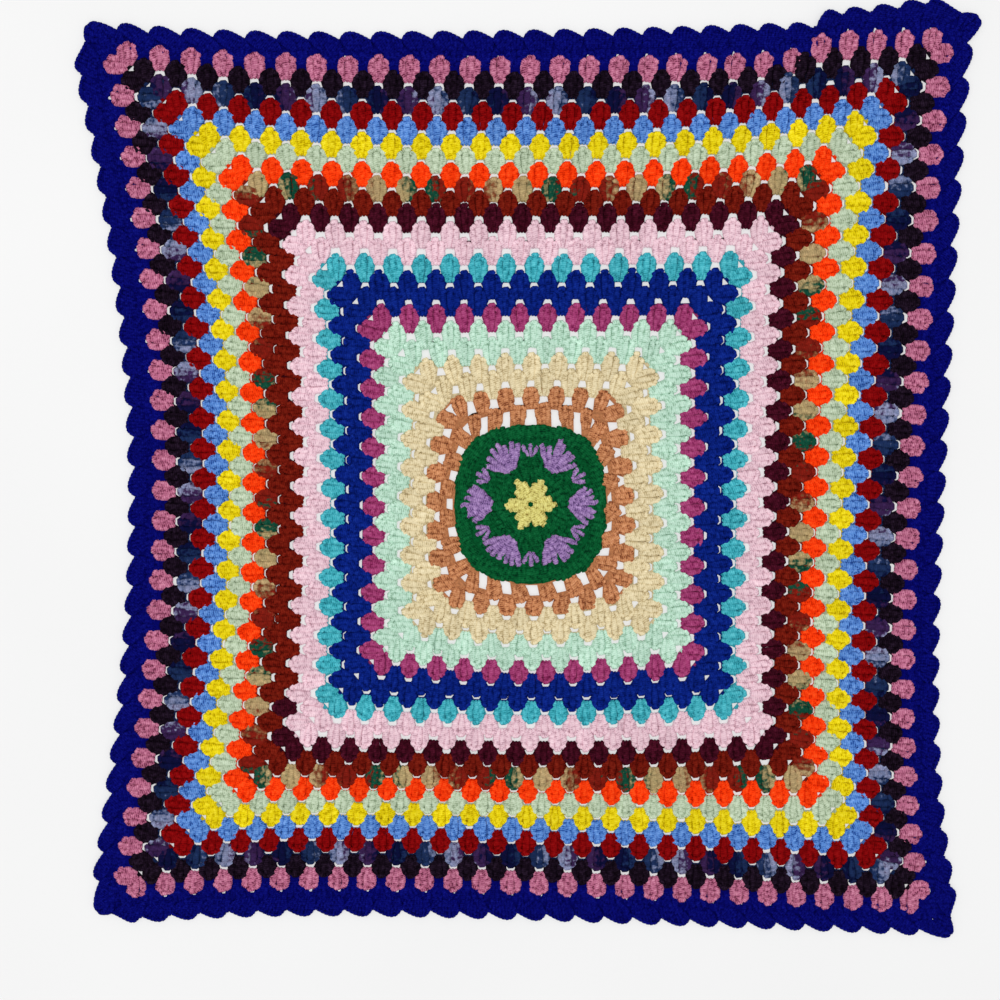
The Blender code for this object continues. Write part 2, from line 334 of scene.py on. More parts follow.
    def straight_above(self, round_no: int, place: Numbers, level: Numbers) -> Numbers:
        """Share, on the ring that lies level rounds further out, straight above a place along this round.

        Each round is one cluster longer than the one inside it, half at each end, so a place p of n clusters
        keeps its distance from the side's middle: share = 1/2 + (p / n - 1/2) n / (n + level).

        Args:
            round_no: the round that places are counted on.
            place: places along a side, in clusters.
            level: rounds further out, or inwards if under 0.

        Returns:
            The shares there.
        """
        count = self.count(round_no)
        return 0.5 + (np.asarray(place) / count - 0.5) * count / (count + level)

    def fans(self, round_no: int, side: Array, step: Array) -> Fans:
        """Fans of a round, each over its gap and in the length that the round gives it.

        Args:
            round_no: the round.
            side: side of each fan.
            step: number of each fan along its side.

        Returns:
            The fans, of plain size and without dye.
        """
        count = self.count(round_no)
        gap = self.on_ring(round_no - 1, side, step / (count - 1))
        middle = self.on_edging(round_no, side, (step + 0.5) / count)
        ends = (self.on_ring(round_no, side, (step + end) / count) for end in (0, 1))
        return Fans(gap, middle, flat_distance(*ends))

    def rim_points(self, places: Array | tuple[float, ...]) -> RimPoints:
        """Points at set places along every shell, clockwise, the corner shells included.

        Args:
            places: places along each shell, 0 to 1.

        Returns:
            The points, shell by shell.
        """
        pitch = (self.last_valley - self.first_valley) / self.shells_per_side
        starts = np.append(self.first_valley + pitch * np.arange(self.shells_per_side), self.last_valley)
        ends = np.append(starts[1:], 1 + self.first_valley)
        shells = (np.repeat(np.arange(SIDES), starts.size), np.tile(starts, SIDES), np.tile(ends, SIDES))
        side, start, end = (np.repeat(column, len(places)) for column in shells)
        place = np.tile(places, SIDES * starts.size)
        return RimPoints(side, between(start, end, place), place, start, end)

    def rim(self, points: RimPoints, inset: float = 0.0) -> Array:
        """Where rim points lie, inset from it: a shell stands out by sin(pi p^skew), steep and then long."""
        outward = self.scallop_height * np.sin(math.pi * points.place**self.scallop_skew) - inset
        return self.on_edging(self.edge_round, points.side, points.share, outward)

    def area(self) -> float:
        """Area inside the rim, as half the sum of x dy - y dx round it."""
        x, y = self.rim(self.rim_points(self.rim_places))[:, :2].T
        return float(abs(np.sum(x * np.roll(y, -1) - y * np.roll(x, -1))) / 2)


# ---- shader building


class Value:
    """A number socket in a node tree. Arithmetic on it adds Math nodes."""

    def __init__(self, recipe: Recipe, socket: Socket) -> None:
        """Wraps one output socket."""
        self.recipe = recipe
        self.socket = socket

    def _math(self, operation: str, first: Value | float, second: Value | float = 0.0) -> Value:
        """Adds one Math node and returns its result."""
        return self.recipe.value("Math", {"operation": operation}, {0: first, 1: second})

    def __add__(self, other: Value | float) -> Value:
        """self + other."""
        return self._math("ADD", self, other)

    __radd__ = __add__

    def __mul__(self, other: Value | float) -> Value:
        """self * other."""
        return self._math("MULTIPLY", self, other)

    __rmul__ = __mul__

    def __sub__(self, other: Value | float) -> Value:
        """self - other."""
        return self._math("SUBTRACT", self, other)

    def __rsub__(self, other: Value | float) -> Value:
        """other - self."""
        return self._math("SUBTRACT", other, self)

    def sine(self) -> Value:
        """Sine of self, in radians."""
        return self._math("SINE", self)

    def fraction(self) -> Value:
        """What is left of self after its whole number."""
        return self._math("FRACT", self)


class Recipe:
    """One material under construction."""

    def __init__(self, name: str) -> None:
        """Starts an empty material with a shader and an output.

        Args:
            name: the material's name.
        """
        self.material = bpy.data.materials.new(name)
        self.material.use_nodes = True
        self.tree = self.material.node_tree
        self.tree.nodes.clear()
        self.shader = self.node("BsdfPrincipled")
        self.node("OutputMaterial", {}, {"Surface": self.shader.outputs[0]})

    def node(self, kind: str, settings: dict | None = None, inputs: dict | None = None) -> Node:
        """Adds a node.

        Args:
            kind: the node's type name, after ShaderNode.
            settings: its properties, set before its sockets.
            inputs: values, sockets or Values for its input sockets, by name or number.

        Returns:
            The new node.
        """
        made = self.tree.nodes.new("ShaderNode" + kind)
        for name, value in (settings or {}).items():
            setattr(made, name, value)
        self.feed(made, inputs or {})
        return made

    def feed(self, node: Node, inputs: dict) -> None:
        """Gives input sockets, by name or number, their values, sockets or Values."""
        for name, given in inputs.items():
            given = given.socket if isinstance(given, Value) else given
            if isinstance(given, Socket):
                self.tree.links.new(given, node.inputs[name])
            else:
                node.inputs[name].default_value = given

    def dressed(self, inputs: dict) -> bpy.types.Material:
        """The finished material, with these inputs on its shader."""
        self.feed(self.shader, inputs)
        return self.material

    def value(self, kind: str, settings: dict | None = None, inputs: dict | None = None) -> Value:
        """Adds a node and wraps its first output. The arguments are those of node."""
        return Value(self, self.node(kind, settings, inputs).outputs[0])

    def attribute(self, name: str) -> Node:
        """Reads one attribute of the mesh."""
        return self.node("Attribute", {"attribute_name": name})

    def noise(self, scale: float, detail: float = 2.0) -> Value:
        """Noise on object coordinates, about 0 to 1."""
        place = self.node("TexCoord").outputs["Object"]
        return self.value("TexNoise", {}, {"Vector": place, "Scale": scale, "Detail": detail})

    def spread(self, value: Value, low: float, high: float) -> Value:
        """Stretches a value so that low gives 0 and high gives 1, held between them."""
        return self.value("MapRange", {"clamp": True}, {0: value, 1: low, 2: high, 3: 0.0, 4: 1.0})

    def grey(self, value: Value) -> Socket:
        """The grey of a brightness."""
        return self.value("CombineColor", {}, {0: value, 1: value, 2: value}).socket

    def mix(self, factor: Value | float, first: Colour | Socket, second: Colour | Socket,
            blend: str = "MIX") -> Socket:
        """Mixes two colours.

        Args:
            factor: how much of the second colour there is, 0 to 1.
            first: a colour or a socket.
            second: a colour or a socket.
            blend: the node's blend type.

        Returns:
            The socket of the mixed colour.
        """
        settings = {"data_type": "RGBA", "blend_type": blend}
        return self.node("Mix", settings, {0: factor, 6: first, 7: second}).outputs[2]

    def bump(self, height: Value, strength: float, distance: float) -> Socket:
        """A surface direction roughened by a height."""
        inputs = {"Strength": strength, "Distance": distance, "Height": height}
        return self.node("Bump", {}, inputs).outputs[0]

    def ramp(self, value: Value, stops: list[tuple[float, Colour]]) -> Socket:
        """Adds a colour ramp.

        Args:
            value: where the ramp is read, 0 to 1.
            stops: places on the ramp, with their colours.

        Returns:
            The socket of the colour there.
        """
        made = self.node("ValToRGB", {}, {0: value})
        elements = made.color_ramp.elements
        while len(elements) < len(stops):
            elements.new(0.5)
        for element, (at, colour) in zip(elements, stops):
            element.position = at
            element.color = colour
        return made.outputs[0]


def linear(colour: Display) -> Colour:
    """A display colour as a linear one.

    Args:
        colour: red, green and blue, 0 to 255.

    Returns:
        Linear red, green, blue and a full alpha.
    """
    share = np.array(colour) / 255
    value = np.where(share <= 0.04045, share / 12.92, ((share + 0.055) / 1.055) ** 2.4)
    return (*map(float, value), 1.0)


# ---- yarns


@dataclass(frozen=True)
class Yarn:
    """A matt acrylic yarn of one colour, over which painted shade and painted highlight are speckled."""

    name: str
    # Colours: a darker copy as painted shade, the yarn's own colour, a lighter copy as painted highlight.
    painted_shade_tone: Display
    body: Display
    bright: Display
    gloss: float = 0.03
    # Scale of the grain noise, which speckles the painted shade and highlight and also drives the bump.
    grain_noise_scale: float = 330.0
    fleck_detail: float = 3.0
    fuzz_scale: float = 3.7
    ply_pitch: float = 0.0021
    ply_bend: float = 7.0
    # Painted shade and highlight: the plies' share in the mask, and its ranges from the painted shade tone to
    # the body and from the body to the painted highlight tone.
    ply_highlight_share: float = 0.14
    painted_shade_range: tuple[float, float] = (0.34, 0.47)
    painted_highlight_range: tuple[float, float] = (0.52, 0.70)
    ply_relief: float = 0.35
    grain_relief: float = 0.55
    fuzz_relief: float = 0.25
    bump_depth: float = 0.0007
    bump_strength: float = 0.6
    fuzz_range: tuple[float, float] = (0.2, 0.8)
    least_rough: float = 0.72
    rough_range: float = 0.25

    def tones(self, recipe: Recipe) -> tuple[Colour | Socket, ...]:
        """The painted shade tone, the body colour and the painted highlight tone."""
        return linear(self.painted_shade_tone), linear(self.body), linear(self.bright)

    def material(self) -> bpy.types.Material:
        """The yarn's material.

        The plies are stripes, the sine of 2 pi (distance / pitch + 2 turn), bent by noise. A mask of that
        noise with a little of the plies leads from the painted shade tone to the body colour and on to the
        painted highlight tone: painted shade and painted highlight speckled over the yarn and along its
        plies.
        Noise and plies drive the bump too, and a shade of each stitch's own lightens it.

        Returns:
            The material.
        """
        recipe = Recipe(f"yarn_{self.name}")
        run = recipe.node("UVMap", {"uv_map": "strand"}).outputs[0]
        split = recipe.node("SeparateXYZ", {}, {0: run})
        along, turn = (Value(recipe, socket) for socket in split.outputs[:2])
        grain = recipe.noise(self.grain_noise_scale, self.fleck_detail)
        fuzz = recipe.noise(self.grain_noise_scale * self.fuzz_scale)
        bend = grain * self.ply_bend + turn * (4 * math.pi)
        plies = ((along * (2 * math.pi / self.ply_pitch) + bend).sine() + 1.0) * 0.5
        # Painted shade and painted highlight, speckled by noise and lighter along the ply stripes.
        painted_light_mask = grain * (1 - self.ply_highlight_share) + plies * self.ply_highlight_share
        painted_shade_tone, body, bright = self.tones(recipe)
        low = recipe.mix(recipe.spread(painted_light_mask, *self.painted_shade_range), painted_shade_tone, body)
        colour = recipe.mix(recipe.spread(painted_light_mask, *self.painted_highlight_range), low, bright)
        shade = recipe.grey(Value(recipe, recipe.attribute("shade").outputs["Fac"]))
        relief = plies * self.ply_relief + grain * self.grain_relief + fuzz * self.fuzz_relief
        return recipe.dressed({
            "Base Color": recipe.mix(1.0, colour, shade, "MULTIPLY"),
            "Normal": recipe.bump(relief, self.bump_strength, self.bump_depth),
            "Roughness": recipe.spread(fuzz, *self.fuzz_range) * self.rough_range + self.least_rough,
            "Specular IOR Level": self.gloss,
        })


@dataclass(frozen=True)
class DyedYarn(Yarn):
    """A yarn dyed in stretches of several colours, which come round again every few clusters.

    Its three plain colours, painted shade tone, body and painted highlight tone, are only those of the web
    under it.
    """

    # Mask ranges of the painted shade and the painted highlight.
    painted_shade_range: tuple[float, float] = (0.30, 0.48)
    painted_highlight_range: tuple[float, float] = (0.54, 0.72)
    stretches: tuple[tuple[float, Display], ...] = ()
    drift_scale: float = 210.0
    drift: float = 0.50
    lift: float = 2.0
    # Painted shade and painted highlight: the dye times these gives its darker and lighter copies.
    dark: Colour = (0.6, 0.6, 0.6, 1.0)
    pale: Colour = (1.5, 1.5, 1.5, 1.0)

    def tones(self, recipe: Recipe) -> tuple[Colour | Socket, ...]:
        """The dye of the stretch that the stitch was made from.

        Its place in the dye is the stitch's own, drifted by noise and lifted so that it stays above nothing.

        Args:
            recipe: the material under construction.

        Returns:
            The dye darkened as painted shade, as it is, and lightened as painted highlight.
        """
        dye = Value(recipe, recipe.attribute("dye").outputs["Fac"])
        phase = (dye + (recipe.noise(self.drift_scale) - 0.5) * self.drift + self.lift).fraction()
        stops = (*self.stretches, (1.0, self.stretches[0][1]))
        dyed = recipe.ramp(phase, [(at, linear(tint)) for at, tint in stops])
        # Darker and lighter copies of the dye: painted shade and painted highlight.
        dark, pale = (recipe.mix(1.0, dyed, tone, "MULTIPLY") for tone in (self.dark, self.pale))
        return dark, dyed, pale


class Wool(Enum):
    """Every yarn in the blanket, from the middle outwards."""

    # Each yarn: painted shade tone, its own colour, painted highlight tone. Dyed yarns give one colour three
    # times, for the web.
    LEMON = Yarn("lemon", (150, 130, 60), (214, 204, 118), (236, 230, 150))
    FOREST = Yarn("forest", (0, 42, 22), (6, 82, 42), (20, 104, 58))
    LAVENDER = Yarn("lavender", (80, 56, 106), (146, 114, 168), (184, 152, 202))
    TERRACOTTA = Yarn("terracotta", (116, 58, 34), (190, 126, 84), (218, 156, 114))
    CREAM = Yarn("cream", (180, 160, 118), (222, 206, 166), (238, 224, 188))
    MINT = Yarn("mint", (140, 178, 152), (186, 220, 200), (208, 238, 220))
    MAGENTA = Yarn("magenta", (112, 26, 70), (156, 58, 108), (180, 84, 132))
    ROYAL = Yarn("royal", (0, 14, 78), (6, 30, 118), (18, 46, 142))
    TURQUOISE = Yarn("turquoise", (28, 122, 136), (64, 170, 184), (98, 198, 210))
    BLUSH = Yarn("blush", (190, 150, 164), (230, 194, 206), (244, 214, 222))
    PLUM = Yarn("plum", (34, 2, 10), (58, 8, 24), (84, 20, 42))
    RUST = Yarn("rust", (70, 6, 2), (106, 20, 9), (130, 36, 20))
    ORANGE = Yarn("orange", (200, 34, 0), (246, 58, 8), (255, 86, 30))
    SAGE = Yarn("sage", (140, 158, 128), (184, 200, 172), (206, 222, 196))
    YELLOW = Yarn("yellow", (180, 154, 0), (226, 204, 14), (244, 226, 50))
    CORNFLOWER = Yarn("cornflower", (24, 64, 140), (84, 132, 204), (122, 166, 230))
    CRIMSON = Yarn("crimson", (86, 0, 2), (126, 3, 6), (146, 16, 16))
    DAMSON = Yarn("damson", (6, 2, 6), (20, 9, 22), (40, 26, 44))
    ROSE = Yarn("rose", (98, 34, 60), (180, 101, 132), (214, 142, 168))
    NAVY = Yarn("navy", (0, 0, 66), (4, 6, 100), (14, 20, 124), grain_noise_scale=420.0)
    AUTUMN = DyedYarn(
        "autumn", (122, 28, 18), (122, 28, 18), (122, 28, 18),
        stretches=(
            (0.0, (14, 70, 52)), (0.10, (14, 70, 52)), (0.17, (120, 24, 14)), (0.42, (122, 28, 18)),
            (0.50, (126, 76, 48)), (0.62, (176, 150, 108)), (0.88, (168, 148, 104)),
        ),
    )
    TWILIGHT = DyedYarn(
        "twilight", (22, 38, 76), (22, 38, 76), (22, 38, 76),
        stretches=(
            (0.0, (136, 140, 172)), (0.12, (108, 118, 152)), (0.20, (28, 46, 84)), (0.38, (22, 38, 76)),
            (0.46, (6, 12, 50)), (0.66, (12, 12, 52)), (0.72, (48, 26, 66)), (0.90, (56, 34, 76)),
        ),
    )


@functools.cache
def yarn_material(wool: Wool) -> bpy.types.Material:
    """The material of a yarn, made once."""
    return wool.value.material()


# ---- strands


@dataclass(frozen=True)
class StrandShape:
    """The grid of one kind of strand and how its oval profile changes along it."""

    rings: int = 7
    around: int = 7
    end_share: float = 0.35
    turns: float = 1.1
    ply: float = 0.16
    blunt: int = 6

    def stations(self) -> Array:
        """Places of the rings along the strand, closer at its ends: half of 1 - cos(pi k / last)."""
        return 0.5 - 0.5 * np.cos(np.linspace(0, math.pi, self.rings))

    def rounding(self) -> Array:
        """How the ends are rounded off: the root of 1 - |2u - 1|^blunt, and never under the end's share."""
        return np.maximum(np.sqrt(1 - np.abs(2 * self.stations() - 1) ** self.blunt), self.end_share)

    def path(self, start: Array, end: Array, arch: float = 0.0) -> Array:
        """Straight paths, lifted between their ends by the arch times 4 u (1 - u).

        Args:
            start: first points, rows of x, y, z.
            end: last points.
            arch: the lift halfway.

        Returns:
            Strands by rings by x, y, z.
        """
        u = self.stations()
        path = between(start[:, None], end[:, None], u[:, None])
        path[..., 2] += arch * halfway(u)
        return path


@dataclass
class Skein:
    """Collects strands of one yarn, with the small unevenness of handwork, and makes one mesh of them."""

    name: str
    yarn: Wool
    rng: Draws
    slot: str = "rounds_yarn"
    node: str = "granny_square"
    blocks: list[tuple[Array, ...]] = field(default_factory=list)
    caps: list[list[int]] = field(default_factory=list)
    total: int = 0

    def uneven(self, mean: float, spread: float, *shape: int) -> Array:
        """Random numbers around a mean, in an array of this shape."""
        return self.rng.normal(mean, spread, shape)

    def add(self, shape: StrandShape, path: Array, across: Numbers, upward: Numbers, shade: Array,
            dye: Numbers = 0.0) -> None:
        """Adds strands.

        A strand's surface is centre(u) + side * a(u) * f * cos v + up * b(u) * f * sin v, where f is
        1 + ply * cos(2v - 4 pi turns u), so that two plies wind around it.

        Args:
            shape: the grid and its plies.
            path: strands by rings by x, y, z.
            across: half widths, strands by rings or one for all.
            upward: half heights, strands by rings or one for all.
            shade: brightness of each strand, about 1.
            dye: place of each strand in its yarn's dye.
        """
        strands, rings = path.shape[:2]
        around, u = shape.around, shape.stations()
        tangent = unit(np.gradient(path, axis=1))
        side = unit(np.cross(tangent, np.array([0.0, 0.0, 1.0])))
        up = np.cross(side, tangent)
        angle = 2 * math.pi * np.arange(around) / around
        wind = 1 + shape.ply * np.cos(2 * angle - 4 * math.pi * shape.turns * u[:, None])
        flat, tall = (
            np.broadcast_to(half * shape.rounding(), (strands, rings))[..., None] * wind * turned
            for half, turned in ((across, np.cos(angle)), (upward, np.sin(angle)))
        )
        surface = side[:, :, None] * flat[..., None] + up[:, :, None] * tall[..., None] + path[:, :, None]
        index = self.total + np.arange(strands * rings * around).reshape(strands, rings, around)
        after = np.roll(index, -1, axis=2)
        quads = np.stack([index[:, :-1], index[:, 1:], after[:, 1:], after[:, :-1]], axis=-1)
        runs = np.cumsum(np.linalg.norm(np.diff(path, axis=1), axis=2), axis=1)
        length = np.pad(runs, ((0, 0), (1, 0)))[:, :, None]
        low = np.arange(around) / around
        near, far, low, high = np.broadcast_arrays(length[:, :-1], length[:, 1:], low, low + 1 / around)
        corners = [np.stack(pair, axis=-1) for pair in ((near, low), (far, low), (far, high), (near, high))]
        quad_uv = np.stack(corners, axis=-2).reshape(-1, 2)
        shades, dyes = (np.repeat(np.broadcast_to(row, strands), rings * around) for row in (shade, dye))
        self.blocks.append((surface.reshape(-1, 3), quads.reshape(-1, 4), quad_uv, shades, dyes))
        self.caps += np.concatenate([index[:, 0], index[:, -1, ::-1]]).tolist()
        self.total += index.size

    def to_object(self) -> Piece:
        """Makes the mesh, with its strand map and its shade and dye, and dresses it.

        Returns:
            The piece.
        """
        points, quads, quad_uv, shade, dye = (np.concatenate(column) for column in zip(*self.blocks))
        mesh = bpy.data.meshes.new(self.name)
        mesh.from_pydata(points.tolist(), [], quads.tolist() + self.caps)
        mesh.polygons.foreach_set("use_smooth", np.ones(len(mesh.polygons), bool))
        uv = np.zeros((len(mesh.loops), 2), np.float32)
        uv[: len(quad_uv)] = quad_uv
        mesh.uv_layers.new(name="strand").data.foreach_set("uv", uv.ravel())
        for name, values in (("shade", shade), ("dye", dye)):
            layer = mesh.attributes.new(name, "FLOAT", "POINT")
            layer.data.foreach_set("value", values.astype(np.float32))
        mesh.update()
        return finish_piece(self.name, mesh, yarn_material(self.yarn), self.slot, self.node)


def add_object(name: str, data: bpy.types.ID) -> bpy.types.Object:
    """Puts a new object into the scene.

    Args:
        name: the object's name.
        data: its mesh, lamp or camera.

    Returns:
        The object.
    """
    made = bpy.data.objects.new(name, data)
    bpy.context.scene.collection.objects.link(made)
    return made


def finish_piece(name: str, mesh: bpy.types.Mesh, material: bpy.types.Material, slot: str,
                 *nodes: str) -> Piece:
    """Puts a mesh into the scene as a piece that rides on the blanket and stands for its solids.

    Args:
        name: the piece's name.
        mesh: its mesh.
        material: what it is dressed in.
        slot: not used.
        nodes: the solids that it stands for.

    Returns:
        The piece.
    """
    mesh.materials.append(material)
    piece = add_object(name, mesh)
    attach(piece, "root")
    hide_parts(*nodes)
    faces = sum(len(polygon.vertices) - 2 for polygon in mesh.polygons)
    LOG.info("%s: %d triangles", name, faces)
    return piece


# ---- stitches of the rounds


@dataclass(frozen=True)
class FanStitches:
    """Fans of posts that share a foot and widen into a round head, with a loop over each post.

    Distances along a fan are in shares of the way from its foot's gap to its middle, measured from the
    middle. Distances across it are in shares of the room that it has beside its neighbours.
    """

    posts: int = 3
    foot: float = -1.00
    middle_head: float = 0.50
    outer_head: float = 0.29
    longest: float = 0.0165
    foot_spread: float = 0.085
    head_spread: float = 0.215
    foot_half: float = 0.075
    head_half: float = 0.132
    swell: float = 2.15
    low_z: float = 0.0024
    high_z: float = 0.0029
    outer_sink: float = 0.0005
    low_up: float = 0.0018
    high_up: float = 0.0023
    loops: bool = True
    loop_past: float = -0.01
    loop_z: float = 0.0005
    loop_reach: float = 0.130
    loop_half: float = 0.0026
    loop_up: float = 0.0016
    loop_turn: float = 0.62
    loop_arch: float = 0.0003
    loop_bow: float = 0.0009
    loop_shade: float = 1.04
    jitter: float = 0.0004
    lean_noise: float = 0.035
    size_noise: float = 0.035
    head_noise: float = 0.030
    rise_noise: float = 0.0001
    fan_shade_noise: float = 0.030
    post_shade_noise: float = 0.025
    post: StrandShape = StrandShape()
    loop: StrandShape = StrandShape(4, 6, 0.5, 0.6, 0.16)

    def add(self, skein: Skein, fans: Fans) -> None:
        """Adds fans.

        A post starts near the axis and moves outwards by the sine of swell times u, which gives the fan its
        tulip shape, and an outer post ends lower than the middle one, which makes the head round.

        Args:
            skein: where the strands go.
            fans: where the fans are and how large.
        """
        count = len(fans.gap)
        plump, broad = (np.reshape(size, (-1, 1)) for size in (fans.plump, fans.broad))
        reach = flat_distance(fans.gap, fans.middle)[:, None]
        axis = (fans.middle - fans.gap)[:, :2] / reach
        reach = np.minimum(reach, self.longest) * plump
        room = fans.room[:, None] * plump
        axis = axis + skein.uneven(0, self.lean_noise, count, 1) * quarter_turn(axis)
        bright = skein.uneven(1, self.fan_shade_noise, count)
        u = self.post.stations()
        widen = np.sin(self.swell * u)
        for place in np.linspace(-1, 1, self.posts):
            size = skein.uneven(1, self.size_noise, count, 1)
            head = between(self.middle_head, self.outer_head, place**2)
            head = head + skein.uneven(0, self.head_noise, count, 1)
            forth = reach * between(self.foot, head, u)
            spread = between(self.foot_spread * broad, self.head_spread, widen)
            aside = room * place * spread + skein.uneven(0, self.jitter, count, 1) * widen
            path = np.empty((count, u.size, 3))
            path[..., :2] = fans.middle[:, None, :2] + axis[:, None] * forth[..., None]
            path[..., :2] -= quarter_turn(axis)[:, None] * aside[..., None]
            rise = between(self.low_z, self.high_z - self.outer_sink * place**2, widen)
            path[..., 2] = fans.middle[:, 2:] + rise + skein.uneven(0, self.rise_noise, count, 1)
            half = room * between(self.foot_half * broad, self.head_half, widen) * size
            tall = between(self.low_up, self.high_up, widen) * size
            shade = bright * skein.uneven(1, self.post_shade_noise, count)
            dye = fans.dye + place * fans.dye_run / self.posts
            skein.add(self.post, path, half, tall, shade, dye)
            if self.loops:
                dye = dye + fans.dye_run / self.posts / 2
                self.add_loops(skein, path[:, -1], axis, place, room, reach, shade, dye)

    def add_loops(self, skein: Skein, head: Array, axis: Array, place: float, room: Array, reach: Array,
                  shade: Array, dye: Numbers) -> None:
        """Adds the loop over each post's head: a short strand across it, turned to follow the round top.

        Args:
            skein: where the strands go.
            head: the end of each post.
            axis: the way that each fan points.
            place: the post's place in its fan, -1 to 1.
            room: distance from each fan to its neighbours, a column.
            reach: length of each fan, a column.
            shade: brightness of each post.
            dye: place of each loop in its yarn's dye.
        """
        turn = place * self.loop_turn
        out = axis * math.cos(turn) - quarter_turn(axis) * math.sin(turn)
        middle = head + at_height(out * (self.loop_past * reach), self.loop_z)
        along = at_height(-quarter_turn(out) * (self.loop_reach * room), 0.0)
        path = self.loop.path(middle - along, middle + along, self.loop_arch)
        path[..., :2] += out[:, None] * (self.loop_bow * halfway(self.loop.stations()))[:, None]
        skein.add(self.loop, path, self.loop_half, self.loop_up, shade * self.loop_shade, dye)


@dataclass(frozen=True)
class RoundYarn:
    """The yarn of a stretch of rounds, how openly it is worked, and whether its clusters are square."""

    first: int
    last: int
    wool: Wool
    openness: float
    plump: float = 1.07
    dye_run: float = 0.0
    dye_start: float = 0.0
    square: bool = False


@dataclass
class Rounds:
    """The rounds of clusters, a piece for each stretch of one yarn."""

    plan: Plan
    stitches: FanStitches = FanStitches()
    square_stitches: FanStitches = FanStitches(
        foot=-0.80, middle_head=0.42, outer_head=0.36, foot_spread=0.14, foot_half=0.095,
        head_spread=0.225, head_half=0.145, swell=1.90, loop_turn=0.35,
    )
    seed: int = 11
    rust_side: int = 3
    rust_from: int = 2
    rust_to: int = 16
    corner_size: float = 0.95
    side_breadth: tuple[float, ...] = (1.0, 1.4, 1.05, 1.4)
    yarns: tuple[RoundYarn, ...] = (
        RoundYarn(4, 5, Wool.TERRACOTTA, 1.0, 0.95, square=True),
        RoundYarn(6, 7, Wool.CREAM, 0.45, 1.04),
        RoundYarn(8, 9, Wool.MINT, 0.95, 1.02),
        RoundYarn(10, 10, Wool.MAGENTA, 0.60, 1.04),
        RoundYarn(11, 12, Wool.ROYAL, 0.36),
        RoundYarn(13, 13, Wool.TURQUOISE, 0.75, 1.03),
        RoundYarn(14, 15, Wool.BLUSH, 1.15, 1.0),
        RoundYarn(16, 16, Wool.PLUM, 0.55, 1.05),
        RoundYarn(17, 17, Wool.RUST, 0.58),
        RoundYarn(18, 18, Wool.AUTUMN, 0.40, dye_run=1 / 4.47, dye_start=1.0),
        RoundYarn(19, 19, Wool.ORANGE, 0.42),
        RoundYarn(20, 20, Wool.SAGE, 0.26),
        RoundYarn(21, 21, Wool.YELLOW, 0.38),
        RoundYarn(22, 22, Wool.CORNFLOWER, 0.30),
        RoundYarn(23, 23, Wool.CRIMSON, 0.52, 1.10),
        RoundYarn(24, 24, Wool.TWILIGHT, 0.24, dye_run=1 / 3.885, dye_start=1.0),
        RoundYarn(25, 25, Wool.DAMSON, 0.75),
        RoundYarn(26, 26, Wool.ROSE, 0.26, 1.05),
    )

    def wool_of(self, round_no: int) -> RoundYarn:
        """The yarn of a round."""
        return next(entry for entry in self.yarns if entry.first <= round_no <= entry.last)

    def add_round(self, skein: Skein, round_no: int, chosen: Array, entry: RoundYarn) -> None:
        """Adds clusters of one round.

        Args:
            skein: where the strands go.
            round_no: the round.
            chosen: numbers of the clusters, clockwise from the top left corner.
            entry: how the round is worked.
        """
        per_side = self.plan.count(round_no)
        side, step = np.divmod(chosen, per_side)
        fans = self.plan.fans(round_no, side, step)
        fans.room = np.minimum(fans.room, np.median(fans.room))
        at_corner = (step == 0) | (step == per_side - 1)
        fans.plump = np.where(at_corner, self.corner_size, 1.0) * entry.plump
        fans.broad = np.array(self.side_breadth)[side]
        fans.dye = (chosen - entry.dye_start) * entry.dye_run
        fans.dye_run = entry.dye_run
        stitches = self.square_stitches if entry.square else self.stitches
        stitches.add(skein, fans)

    def build(self) -> list[Piece]:
        """Makes the pieces, with the stretch of the plum round that was worked in rust as one of its own.

        Returns:
            The pieces, from the inside outwards.
        """
        rng = np.random.default_rng(self.seed)
        made = []
        for entry in self.yarns:
            skein = Skein(f"rounds_{entry.wool.value.name}", entry.wool, rng)
            for round_no in range(entry.first, entry.last + 1):
                number = np.arange(SIDES * self.plan.count(round_no))
                if entry.wool is Wool.PLUM:
                    side, step = np.divmod(number, self.plan.count(round_no))
                    rust = (side == self.rust_side) & (step >= self.rust_from) & (step <= self.rust_to)
                    spare = Skein("round_joined_in_rust", Wool.RUST, rng)
                    self.add_round(spare, round_no, number[rust], entry)
                    made.append(spare.to_object())
                    number = number[~rust]
                self.add_round(skein, round_no, number, entry)
            made.append(skein.to_object())
        return made


# ---- the motif


@dataclass(frozen=True)
class FanRing:
    """A ring of like fans in the motif: strands that spread from an apex and thicken to their tips.

    Spread is the lean of a fan's outer strands in radians, start the place of the first fan in degrees, tall
    a strand's height as a share of its width, and shorter the share that the outer strands lose.
    """

    fans: int
    strands: int
    apex: float
    reach: float
    spread: float
    root_half: float
    tip_half: float
    z: float
    tall: float
    start: float = 0.0
    shorter: float = 0.12
    rough: float = 0.0007


